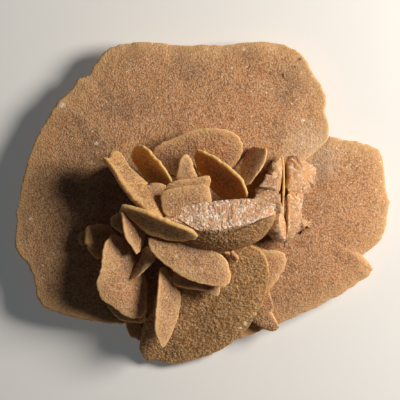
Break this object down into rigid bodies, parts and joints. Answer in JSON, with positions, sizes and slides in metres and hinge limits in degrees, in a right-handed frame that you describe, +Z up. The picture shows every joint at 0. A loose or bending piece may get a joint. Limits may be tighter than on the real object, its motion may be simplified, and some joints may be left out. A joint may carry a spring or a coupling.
{
  "type": "gypsum sand rose",
  "caption": "Gypsum sand rose: two wide sandy plates carrying a rosette of thin lens-shaped crystal blades around a broken wall, resting on the worn tips of blades below.",
  "frame": {"origin": "centre of the bounding box, at the level of the worn tips that the cluster rests on", "axes": "+Z up, out of the rosette; +X to the right and +Y to the back when the rosette is seen from above with its long broken wall running left to right"},
  "size_m": [0.094, 0.0804, 0.0242],
  "materials": {
    "sandy_gypsum": "matt, crusted with sand grains",
    "amber_gypsum": "matt, thin enough for light to glow through its edge",
    "broken_gypsum": "fresh break, pale and glittering"
  },
  "bodies": {
    "root": {"base_plate_left": "sandy_gypsum", "base_plate_right": "sandy_gypsum", "centre_wall": "broken_gypsum", "centre_disc": "sandy_gypsum", "centre_ledge": "sandy_gypsum", "inner_chip": "sandy_gypsum", "back_tooth": "sandy_gypsum", "back_fan": "sandy_gypsum", "amber_fin": "amber_gypsum", "upper_left_fin": "amber_gypsum", "long_left_blade": "amber_gypsum", "left_upright": "sandy_gypsum", "heart_blade": "sandy_gypsum", "curved_ridge": "amber_gypsum", "narrow_left_blade": "sandy_gypsum", "left_leaf": "sandy_gypsum", "left_back_leaf": "sandy_gypsum", "left_edge_chip": "sandy_gypsum", "left_inner_chip": "sandy_gypsum", "left_lower_ledge": "sandy_gypsum", "small_front_fin": "sandy_gypsum", "front_leaf": "sandy_gypsum", "front_leaf_chip": "sandy_gypsum", "under_leaf": "sandy_gypsum", "pointed_front_blade": "sandy_gypsum", "lower_front_plate": "amber_gypsum", "right_cross_blade": "amber_gypsum", "right_stump_core": "broken_gypsum", "right_stump_left": "broken_gypsum", "right_stump_back": "broken_gypsum", "right_stump_front": "broken_gypsum", "right_crescent": "sandy_gypsum", "right_front_lobe": "sandy_gypsum", "right_front_tongue": "sandy_gypsum", "keel_blade": "sandy_gypsum", "left_foot_blade": "sandy_gypsum", "right_foot_blade": "sandy_gypsum", "back_foot_blade": "sandy_gypsum", "under_cross_blade": "sandy_gypsum", "under_front_left": "sandy_gypsum", "under_front_right": "sandy_gypsum", "under_left_petal": "sandy_gypsum", "under_right_petal": "sandy_gypsum", "under_back_petal": "sandy_gypsum", "under_back_left": "sandy_gypsum", "under_back_right": "sandy_gypsum"}
  },
  "joints": []
}
